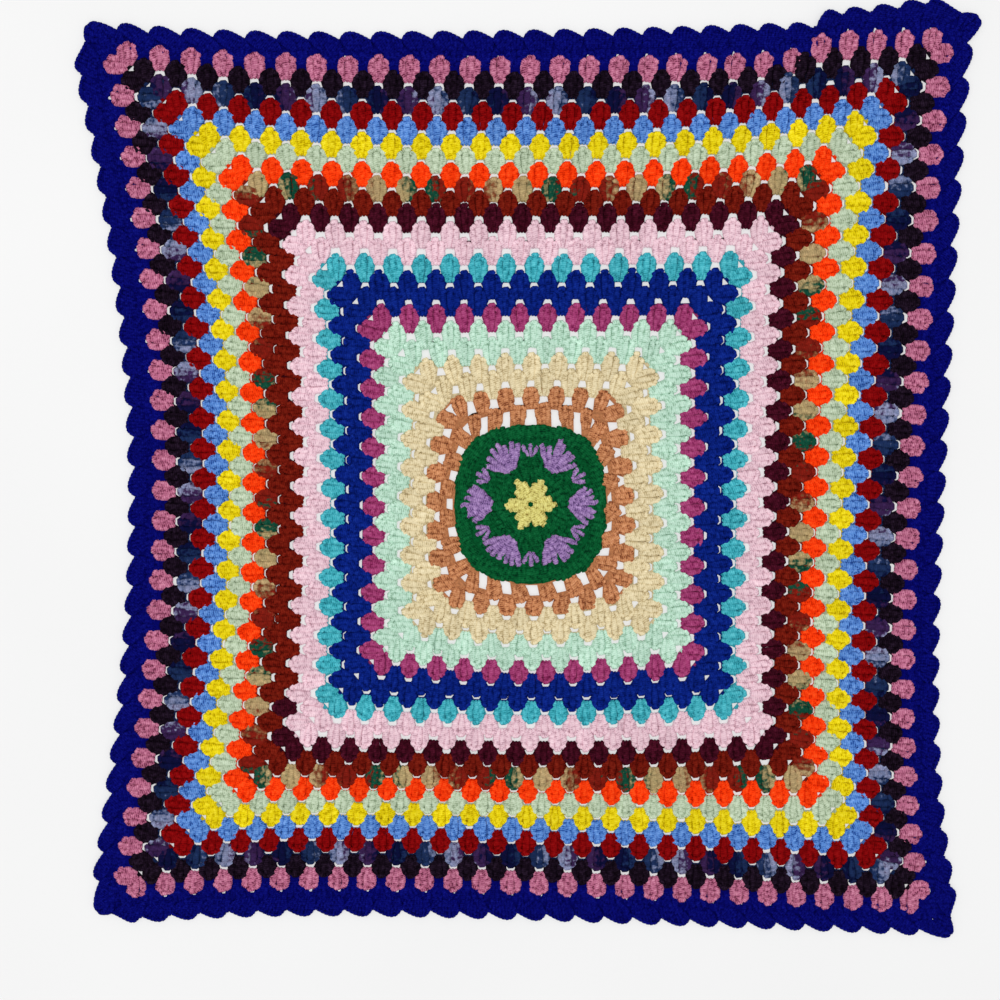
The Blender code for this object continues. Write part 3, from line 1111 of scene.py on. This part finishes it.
@dataclass
class Motif:
    """The round motif: six petals, a dense green round, lavender shells and the green round around them."""

    plan: Plan
    seed: int = 5
    petals: FanRing = FanRing(6, 3, 0.0024, 0.0250, 0.12, 0.0024, 0.0043, 0.0036, 0.85, 2.0, 0.20, 0.0016)
    green_round: FanRing = FanRing(12, 5, 0.0190, 0.0230, 0.42, 0.0020, 0.0032, 0.0024, 0.8, 15.0)
    green_filler: FanRing = FanRing(18, 4, 0.0370, 0.0290, 0.26, 0.0024, 0.0034, 0.0020, 0.6)
    big_shells: FanRing = FanRing(6, 7, 0.0370, 0.0295, 0.70, 0.0020, 0.0036, 0.0031, 0.8, 0.0, 0.12, 0.0022)
    small_shells: FanRing = FanRing(6, 3, 0.0470, 0.0150, 0.50, 0.0014, 0.0027, 0.0031, 0.8, 30.0)
    strand: StrandShape = StrandShape(12, 7, 0.45, 2.6, 0.32)
    frame_strand: StrandShape = StrandShape()
    frame_posts: int = 96
    frame_inner: float = 0.81
    frame_sides: tuple[float, float] = (0.0745, 0.0785)
    frame_corner: float = 0.0085
    frame_wave: float = 0.0010
    frame_waves: int = 22
    frame_half: float = 0.0036
    frame_root: float = 0.85
    frame_growth: float = 0.3
    frame_up: float = 0.0022
    frame_z: float = 0.0026
    root_sink: float = 0.0003
    most_up: float = 0.0023
    arch: float = 0.0004
    thicken: float = 0.8
    lean_noise: float = 0.04
    size_noise: float = 0.06
    shade_noise: float = 0.04
    edge_noise: float = 0.0004
    rise_noise: float = 0.0001

    def add_fans(self, skein: Skein, ring: FanRing) -> None:
        """Adds a ring of fans.

        Args:
            skein: where the strands go.
            ring: the fans.
        """
        fan = np.repeat(np.radians(ring.start) + 2 * math.pi * np.arange(ring.fans) / ring.fans, ring.strands)
        place = np.tile(np.linspace(-1, 1, ring.strands), ring.fans)
        out = heading(fan)
        aim = heading(fan + (place * ring.spread + skein.uneven(0, self.lean_noise, fan.size)))
        aside = quarter_turn(out) * (place * ring.root_half)[:, None]
        length = ring.reach * (1 - ring.shorter * place**2) + skein.uneven(0, ring.rough, fan.size)
        root = self.plan.centre() + out * ring.apex + aside
        start = at_height(root, ring.z - self.root_sink)
        end = at_height(root + aim * length[:, None], ring.z + skein.uneven(0, self.rise_noise, fan.size))
        half = between(ring.root_half, ring.tip_half, self.strand.stations() ** self.thicken)
        half = half * skein.uneven(1, self.size_noise, fan.size, 1)
        tall = np.minimum(half * ring.tall, self.most_up)
        shade = skein.uneven(1, self.shade_noise, fan.size)
        skein.add(self.strand, self.strand.path(start, end, self.arch), half, tall, shade)

    def add_frame(self, skein: Skein) -> None:
        """Adds the dense green round: posts side by side, out to a rounded square with a wavy edge.

        At angle a its edge is at rx cos^2 a + ry sin^2 a + corner sin^2 2a, plus a small wave.

        Args:
            skein: where the strands go.
        """
        angle = 2 * math.pi * (np.arange(self.frame_posts) + 0.5) / self.frame_posts
        wide, tall = self.frame_sides
        edge = wide * np.cos(angle) ** 2 + tall * np.sin(angle) ** 2
        edge += self.frame_corner * np.sin(2 * angle) ** 2
        edge += self.frame_wave * np.cos(self.frame_waves * angle)
        edge += skein.uneven(0, self.edge_noise, angle.size)
        inner, outer = (
            at_height(self.plan.centre() + heading(angle) * (edge * share)[:, None], self.frame_z)
            for share in (self.frame_inner, 1.0)
        )
        half = self.frame_half * (self.frame_root + self.frame_growth * self.frame_strand.stations())
        half = half * skein.uneven(1, self.size_noise, angle.size, 1)
        path = self.frame_strand.path(inner, outer)
        skein.add(self.frame_strand, path, half, self.frame_up, skein.uneven(1, self.shade_noise, angle.size))

    def build(self) -> list[Piece]:
        """Makes the motif.

        Returns:
            Its four pieces.
        """
        rng = np.random.default_rng(self.seed)
        made = []
        for name, wool, rings in (
            ("motif_petals", Wool.LEMON, (self.petals,)),
            ("motif_green_round", Wool.FOREST, (self.green_round, self.green_filler)),
            ("motif_lavender_shells", Wool.LAVENDER, (self.big_shells, self.small_shells)),
        ):
            made.append(Skein(name, wool, rng))
            for ring in rings:
                self.add_fans(made[-1], ring)
        made.append(Skein("motif_green_frame", Wool.FOREST, rng))
        self.add_frame(made[-1])
        return [skein.to_object() for skein in made]


# ---- the edging


@dataclass
class ShellEdging:
    """The border: a dense row of fans worked into the last gaps, then the shells that make the scallops."""

    plan: Plan
    seed: int = 23
    row: FanStitches = FanStitches(
        posts=5, foot=-1.05, middle_head=0.30, outer_head=0.22, foot_spread=0.10, head_spread=0.45,
        foot_half=0.075, head_half=0.125, swell=1.25, low_z=0.0016, high_z=0.0024,
        low_up=0.0014, high_up=0.0021, loops=False,
    )
    shell_posts: int = 8
    shell_from: float = 27.08
    gather: float = 0.72
    rim_inset: float = 0.0020
    overlap: float = 0.62
    least_half: float = 0.0021
    post_up: float = 0.0019
    post_arch: float = 0.0005
    post_inset: float = 0.0008
    foot_z: float = 0.0023
    head_z: float = 0.0025
    rim_reach: float = 0.085
    rim_half: float = 0.0021
    rim_up: float = 0.0017
    rim_arch: float = 0.0002
    rim_z: float = 0.0026
    rim_shade: float = 1.02
    noise: float = 0.04
    shape: StrandShape = StrandShape()
    loop: StrandShape = StrandShape(4, 6, 0.5, 0.6, 0.12)

    def add_row(self, skein: Skein) -> None:
        """Adds the dense row: a fan in every gap of the last round, wide enough to meet its neighbours.

        Args:
            skein: where the strands go.
        """
        round_no = self.plan.last_round + 1
        per_side = self.plan.count(round_no)
        fans = self.plan.fans(round_no, *np.divmod(np.arange(SIDES * per_side), per_side))
        self.row.add(skein, fans)

    def add_shells(self, skein: Skein) -> None:
        """Adds the shells: posts that fan from a gathered foot to the scalloped rim, with loops along it.

        Args:
            skein: where the strands go.
        """
        step = 1 / self.shell_posts
        points = self.plan.rim_points((np.arange(self.shell_posts) + 0.5) / self.shell_posts)
        count = points.side.size
        gathered = between((points.start + points.end) / 2, points.share, self.gather)
        low = self.plan.on_edging(self.shell_from, points.side, gathered)
        high = self.plan.rim(points, self.rim_inset + self.post_inset)
        before, after, left, right = (
            self.plan.rim(points.moved(along), self.rim_inset)
            for along in (-step / 2, step / 2, -self.rim_reach, self.rim_reach)
        )
        for ends, z in ((low, self.foot_z), (high, self.head_z), (left, self.rim_z), (right, self.rim_z)):
            ends[:, 2] += z
        head = np.maximum(flat_distance(before, after) * self.overlap, self.least_half)[:, None]
        half = between(self.least_half, head, self.shape.stations()) * skein.uneven(1, self.noise, count, 1)
        posts = self.shape.path(low, high, self.post_arch)
        skein.add(self.shape, posts, half, self.post_up, skein.uneven(1, self.noise, count))
        loops = self.loop.path(left, right, self.rim_arch)
        shade = skein.uneven(self.rim_shade, self.noise, count)
        skein.add(self.loop, loops, self.rim_half, self.rim_up, shade)

    def build(self) -> list[Piece]:
        """Makes the edging.

        Returns:
            The dense row and the shells.
        """
        rng = np.random.default_rng(self.seed)
        made = []
        for name, add in (("edging_base_row", self.add_row), ("edging_shells", self.add_shells)):
            skein = Skein(name, Wool.NAVY, rng, "edging_yarn", "shell_edging")
            add(skein)
            made.append(skein.to_object())
        return made


# ---- the web under the stitches


@dataclass(frozen=True)
class GapShape:
    """A gap between clusters: its middle and half length in rounds, its half widths in clusters."""

    level: float
    reach: float
    inner_half: float = 0.21
    outer_half: float = 0.11

    def end(self, outwards: int, wide: Array, long: Array) -> tuple[Array, Array]:
        """Half width and level at the gap's inner end, -1, or its outer end, 1."""
        half = self.inner_half if outwards < 0 else self.outer_half
        return wide * half, self.level + outwards * self.reach * long


@dataclass
class Sheet:
    """Collects the points and triangles of a sheet, with the round whose colour each triangle has."""

    points: list[Array] = field(default_factory=list)
    faces: list[Array] = field(default_factory=list)
    tints: list[Array] = field(default_factory=list)
    total: int = 0

    def add_points(self, points: Array) -> Array:
        """Adds points.

        Args:
            points: rows of x, y and rise.

        Returns:
            Their numbers.
        """
        self.points.append(points)
        self.total += len(points)
        return np.arange(self.total - len(points), self.total)

    def add_faces(self, tint: int, *threes: tuple[Array, Array, Array]) -> None:
        """Adds triangles of one colour, given as threes of rows of point numbers."""
        self.faces.append(np.concatenate([np.stack(three, axis=1) for three in threes]))
        self.tints.append(np.full(len(self.faces[-1]), tint))

    def add_band(self, tint: int, low: Array, high: Array) -> None:
        """Adds the band between two closed rings of as many points."""
        low_after, high_after = np.roll(low, -1), np.roll(high, -1)
        self.add_faces(tint, (low, high, high_after), (low, high_after, low_after))


@dataclass
class Web:
    """The thin open web of loops under the stitches: one sheet, open at every gap between clusters."""

    plan: Plan
    rounds: Rounds
    height: float = 0.0021
    thickness: float = 0.0011
    side_openness: tuple[float, ...] = (1.35, 0.80, 1.05, 0.75)
    width_power: float = 0.20
    gap: GapShape = GapShape(-0.21, 0.29)
    first_gap: GapShape = GapShape(-0.37, 0.43, outer_half=0.17)
    edge_gap: GapShape = GapShape(-0.32, 0.13)
    corner_gap: GapShape = GapShape(-0.12, 0.20, 0.12, 0.20)
    edge_openness: float = 0.9
    corner_openness: float = 0.75
    plain_level: float = 0.5
    corner_level: float = 0.11
    first_level: float = 0.10
    # Painted shade: the web's colour runs from its yarn's painted shade tone towards the body colour, by this
    # share and more as the round is worked more openly.
    plain_tint: float = 0.4
    open_tint: float = 0.5
    hub: tuple[float, ...] = (0.86, 0.64, 0.42, 0.2)
    hub_tint: int = 0
    rim_from: float = 27.30
    rim_inset: float = 0.0032
    rim_drop: float = 0.0003
    rim_places: tuple[float, ...] = (0.0, 0.12, 0.34, 0.60, 0.84)
    border_tint: int = 99
    least_face: float = 1e-12
    grain_scale: float = 420.0
    grain_detail: float = 3.0
    grain_range: tuple[float, float] = (0.3, 0.6)
    dark_share: float = 0.4
    bump_depth: float = 0.001
    bump_strength: float = 0.7
    roughness: float = 0.95

    def boundary(self, round_no: int) -> Array:
        """Points half a round outside a round, or less for the first, one at each gap and each cluster.

        Args:
            round_no: the round.

        Returns:
            Rows of x, y and rise, clockwise.
        """
        steps = 2 * self.plan.count(round_no)
        side, step = np.divmod(np.arange(SIDES * steps), steps)
        level = np.where(step > 0, self.plain_level, self.corner_level)
        if round_no == self.plan.first_round:
            level = np.full(step.size, self.first_level)
        share = np.where(step > 0, self.plan.straight_above(round_no, step / 2, level), 0.0)
        return self.plan.on_edging(round_no + level, side, share)

    def build(self) -> Piece:
        """Makes the sheet.

        Between two neighbouring boundaries every gap has a cell of ten triangles around a four-sided hole,
        which the edging closes in the last round of clusters and leaves open in its own first row. Inside the
        first boundary the web is a disc of rings that shrink by set shares, and under the edging it is a
        plain band, out to a little inside the scalloped rim.

        Returns:
            The piece.
        """
        first, last = self.plan.first_round, self.plan.last_round
        sheet = Sheet()
        inner = hub = sheet.add_points(self.boundary(first))
        for round_no in range(first + 1, last + 2):
            outer = sheet.add_points(self.boundary(round_no))
            per_side = self.plan.count(round_no)
            side, step = np.divmod(np.arange(SIDES * per_side), per_side)
            holes = sheet.add_points(self.hole_points(round_no, side, step))
            cells = self.cells(side, step, inner, outer, holes.reshape(-1, 4).T)
            cells = cells if round_no == last else cells[:-2]
            sheet.add_faces(self.border_tint if round_no >= last else round_no, *cells)
            inner = outer
        centre, edge = np.append(self.plan.centre(), 0.0), sheet.points[0]
        for share in self.hub:
            smaller = sheet.add_points(centre + (edge - centre) * share)
            sheet.add_band(self.hub_tint, hub, smaller)
            hub = smaller
        tip = np.repeat(sheet.add_points(centre[None]), hub.size)
        sheet.add_faces(self.hub_tint, (hub, np.roll(hub, -1), tip))
        rim = self.plan.rim_points(self.rim_places)
        band = (self.plan.on_edging(self.rim_from, rim.side, rim.share), self.plan.rim(rim, self.rim_inset))
        drop = np.array([0.0, 0.0, self.rim_drop])
        sheet.add_band(self.border_tint, *(sheet.add_points(ring - drop) for ring in band))
        return self.to_object(*map(np.concatenate, (sheet.points, sheet.faces, sheet.tints)))

    @staticmethod
    def cells(side: Array, step: Array, inner: Array, outer: Array, hole: Array) -> list[tuple[Array, ...]]:
        """The triangles between two neighbouring boundaries, around the hole of every gap.

        Args:
            side: side of each gap.
            step: number of each gap along its side.
            inner: numbers of the inner boundary's points.
            outer: numbers of the outer boundary's points.
            hole: numbers of the holes' inner left, inner right, outer right and outer left points.

        Returns:
            Threes of rows of point numbers. The last two fill the holes.
        """
        inner_l, inner_r, outer_r, outer_l = hole
        steps = outer.size // SIDES
        corner = step == 0
        under = (
            (np.where(corner, side - 1, side), np.where(corner, steps - 1, 2 * step - 1)),
            (side, 2 * step),
            (side, 2 * step + 1),
        )
        in_left, in_here, in_right = (
            inner[(at_side * (steps - 2) + np.clip(at_step - 1, 0, steps - 2)) % inner.size]
            for at_side, at_step in under
        )
        out_left, out_here, out_right = (
            outer[(side * steps + 2 * step + move) % outer.size] for move in (-1, 0, 1)
        )
        return [
            (in_left, inner_l, in_here), (in_here, inner_l, inner_r), (in_here, inner_r, in_right),
            (in_left, out_left, outer_l), (in_left, outer_l, inner_l),
            (inner_r, outer_r, out_right), (inner_r, out_right, in_right),
            (out_left, out_here, outer_l), (outer_l, out_here, outer_r), (outer_r, out_here, out_right),
            (inner_l, outer_l, outer_r), (inner_l, outer_r, inner_r),
        ]

    def hole_points(self, round_no: int, side: Array, step: Array) -> Array:
        """The four corners of every gap of a round: broad towards the middle, narrow outwards.

        A gap at a corner of the blanket bends round it, with half of it on either side. A tight gap keeps
        more of its length than of its width.

        Args:
            round_no: the round.
            side: side of each gap.
            step: number of each gap along its side, 0 at the corner.

        Returns:
            Rows of x, y and rise, four for each gap.
        """
        gap = self.first_gap if round_no == self.plan.first_round + 1 else self.gap
        if round_no > self.plan.last_round:
            gap, opened = self.edge_gap, self.edge_openness
        else:
            opened = self.rounds.wool_of(round_no).openness
        opened = opened * np.array(self.side_openness)[side]
        corner = step == 0
        opened = np.where(corner, np.maximum(opened, self.corner_openness), opened)
        wide, long = opened**self.width_power, opened ** (1 - self.width_power)
        rows = []
        for outwards, turn in ((-1, -1), (-1, 1), (1, 1), (1, -1)):
            half, level = gap.end(outwards, wide, long)
            corner_half, corner_level = self.corner_gap.end(outwards, wide, long)
            bent = corner_half / self.plan.count(round_no)
            straight = self.plan.straight_above(round_no, step + turn * half, level)
            share = np.where(corner, bent if turn > 0 else 1 - bent, straight)
            on_side = np.where(corner & (turn < 0), (side - 1) % SIDES, side)
            away = np.where(corner, corner_level, level)
            rows.append(self.plan.on_edging(round_no + away, on_side, share))
        return np.stack(rows, axis=1).reshape(-1, 3)

    def to_object(self, points: Array, faces: Array, tints: Array) -> Piece:
        """Makes the mesh, gives it its thickness and colours each round's stretch of it.

        Args:
            points: rows of x, y and rise.
            faces: rows of three point numbers, wound either way.
            tints: the round whose colour each triangle has.

        Returns:
            The piece.
        """
        points = points + np.array([0.0, 0.0, self.height])
        first, second, third = np.moveaxis(points[faces], 1, 0)
        turned = np.cross(second - first, third - first)[:, 2]
        whole = np.abs(turned) > self.least_face
        faces, tints, turned = faces[whole], tints[whole], turned[whole]
        faces = np.where((turned < 0)[:, None], faces[:, ::-1], faces)
        mesh = bpy.data.meshes.new("open_web")
        mesh.from_pydata(points.tolist(), [], faces.tolist())
        numbers, places = np.unique(tints, return_inverse=True)
        colours = np.array([self.tint(int(number)) for number in numbers], np.float32)
        layer = mesh.color_attributes.new("yarn_colour", "FLOAT_COLOR", "CORNER")
        layer.data.foreach_set("color", np.repeat(colours[places], 3, axis=0).ravel())
        mesh.update()
        nodes = ("granny_square", "shell_edging")
        piece = finish_piece("open_web", mesh, self.material(), "rounds_yarn", *nodes)
        wall = piece.modifiers.new("thickness", "SOLIDIFY")
        wall.thickness = self.thickness
        wall.offset = 0.0
        return piece

    def tint(self, number: int) -> Colour:
        """The colour of a stretch of web, painted shade: between the painted shade tone and the body colour
        of the yarn worked over it, darker where the round is worked more tightly.

        Args:
            number: the round, or the number of the hub or the border.

        Returns:
            The linear colour.
        """
        plain = {self.hub_tint: Wool.FOREST, self.border_tint: Wool.NAVY}
        if number in plain:
            return linear(plain[number].value.body)
        entry = self.rounds.wool_of(number)
        # Painted shade: tighter rounds leave the web nearer the painted shade tone.
        share = min(1.0, self.plain_tint + self.open_tint * entry.openness)
        tones = (linear(entry.wool.value.painted_shade_tone), linear(entry.wool.value.body))
        return tuple(between(low, high, share) for low, high in zip(*tones))

    def material(self) -> bpy.types.Material:
        """Dresses the web in each round's tint, its yarn's colour darkened as painted shade, mottled darker
        by noise, with a looped bump.

        Returns:
            The material.
        """
        recipe = Recipe("web_of_loops")
        colour = recipe.attribute("yarn_colour").outputs["Color"]
        grain = recipe.noise(self.grain_scale, self.grain_detail)
        dark = recipe.mix(self.dark_share, colour, (0.0, 0.0, 0.0, 1.0))
        return recipe.dressed({
            "Base Color": recipe.mix(recipe.spread(grain, *self.grain_range), dark, colour),
            "Normal": recipe.bump(grain, self.bump_strength, self.bump_depth),
            "Roughness": self.roughness,
            "Specular IOR Level": Wool.NAVY.value.gloss,
        })


# ---- studio


@dataclass
class Studio:
    """The pale floor, the soft light and the camera above the blanket."""

    floor_size: float = 6.0
    floor_z: float = -0.0004
    floor_tone: float = 0.36
    floor_glow: float = 1.48
    floor_mottle: float = 0.02
    floor_grain: float = 3.0
    floor_detail: float = 1.0
    floor_roughness: float = 0.8
    floor_gloss: float = 0.1
    sky_strength: float = 0.925
    key_power: float = 13.0
    key_size: float = 1.8
    key_place: tuple[float, float, float] = (-0.5, 0.5, 2.4)
    focal_mm: float = 50.0
    sensor_mm: float = 36.0
    distance: float = 1.3778
    tilt: float = math.radians(5.36)
    aim: tuple[float, float] = (-0.0254, -0.0182)

    def build(self) -> None:
        """Makes the floor, lights and camera."""
        self.build_floor()
        self.build_light()
        self.build_camera()
        view = bpy.context.scene.view_settings
        view.view_transform = "Standard"
        view.look = "None"

    def build_floor(self) -> None:
        """A large pale plane under the blanket, with a faint unevenness in its tone."""
        half = self.floor_size / 2
        mesh = bpy.data.meshes.new("floor")
        corners = [(x * half, y * half, self.floor_z) for x, y in ((-1, -1), (1, -1), (1, 1), (-1, 1))]
        mesh.from_pydata(corners, [], [(0, 1, 2, 3)])
        recipe = Recipe("pale_floor")
        mottle = recipe.noise(self.floor_grain, self.floor_detail) * self.floor_mottle
        tone = recipe.grey(mottle + (self.floor_tone - self.floor_mottle / 2))
        mesh.materials.append(recipe.dressed({
            "Base Color": tone,
            "Emission Color": tone,
            "Emission Strength": self.floor_glow,
            "Roughness": self.floor_roughness,
            "Specular IOR Level": self.floor_gloss,
        }))
        floor = add_object("floor", mesh)

    def build_light(self) -> None:
        """An even white sky and one large soft lamp from the upper left."""
        world = bpy.data.worlds.new("studio_sky")
        world.use_nodes = True
        sky = world.node_tree.nodes["Background"]
        sky.inputs["Color"].default_value = (1.0, 1.0, 1.0, 1.0)
        sky.inputs["Strength"].default_value = self.sky_strength
        bpy.context.scene.world = world
        lamp = bpy.data.lights.new("key", "AREA")
        lamp.energy = self.key_power
        lamp.size = self.key_size
        key = add_object("key", lamp)
        key.location = self.key_place
        x, y, z = self.key_place
        key.rotation_euler = (math.atan2(math.hypot(x, y), z), 0.0, math.atan2(x, -y) + math.pi)

    def build_camera(self) -> None:
        """A camera over the blanket, leaning a little, so that the top edge is nearer."""
        lens = bpy.data.cameras.new("camera")
        lens.lens = self.focal_mm
        lens.sensor_width = self.sensor_mm
        lens.sensor_fit = "AUTO"
        camera = add_object("camera", lens)
        lift, back = self.distance * math.cos(self.tilt), self.distance * math.sin(self.tilt)
        camera.location = (self.aim[0], self.aim[1] + back, lift)
        camera.rotation_euler = (-self.tilt, 0.0, 0.0)
        bpy.context.scene.camera = camera


# ---- everything in order


def main() -> None:
    logging.basicConfig(level=logging.INFO, format="%(name)s: %(message)s")
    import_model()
    plan = Plan()
    rounds = Rounds(plan)
    pieces = rounds.build()
    pieces += Motif(plan).build()
    pieces += ShellEdging(plan).build()
    web = Web(plan, rounds).build()
    plan.area()
    Studio().build()
    LOG.info("%d pieces", len(pieces) + 1)


if __name__ == "__main__":
    main()
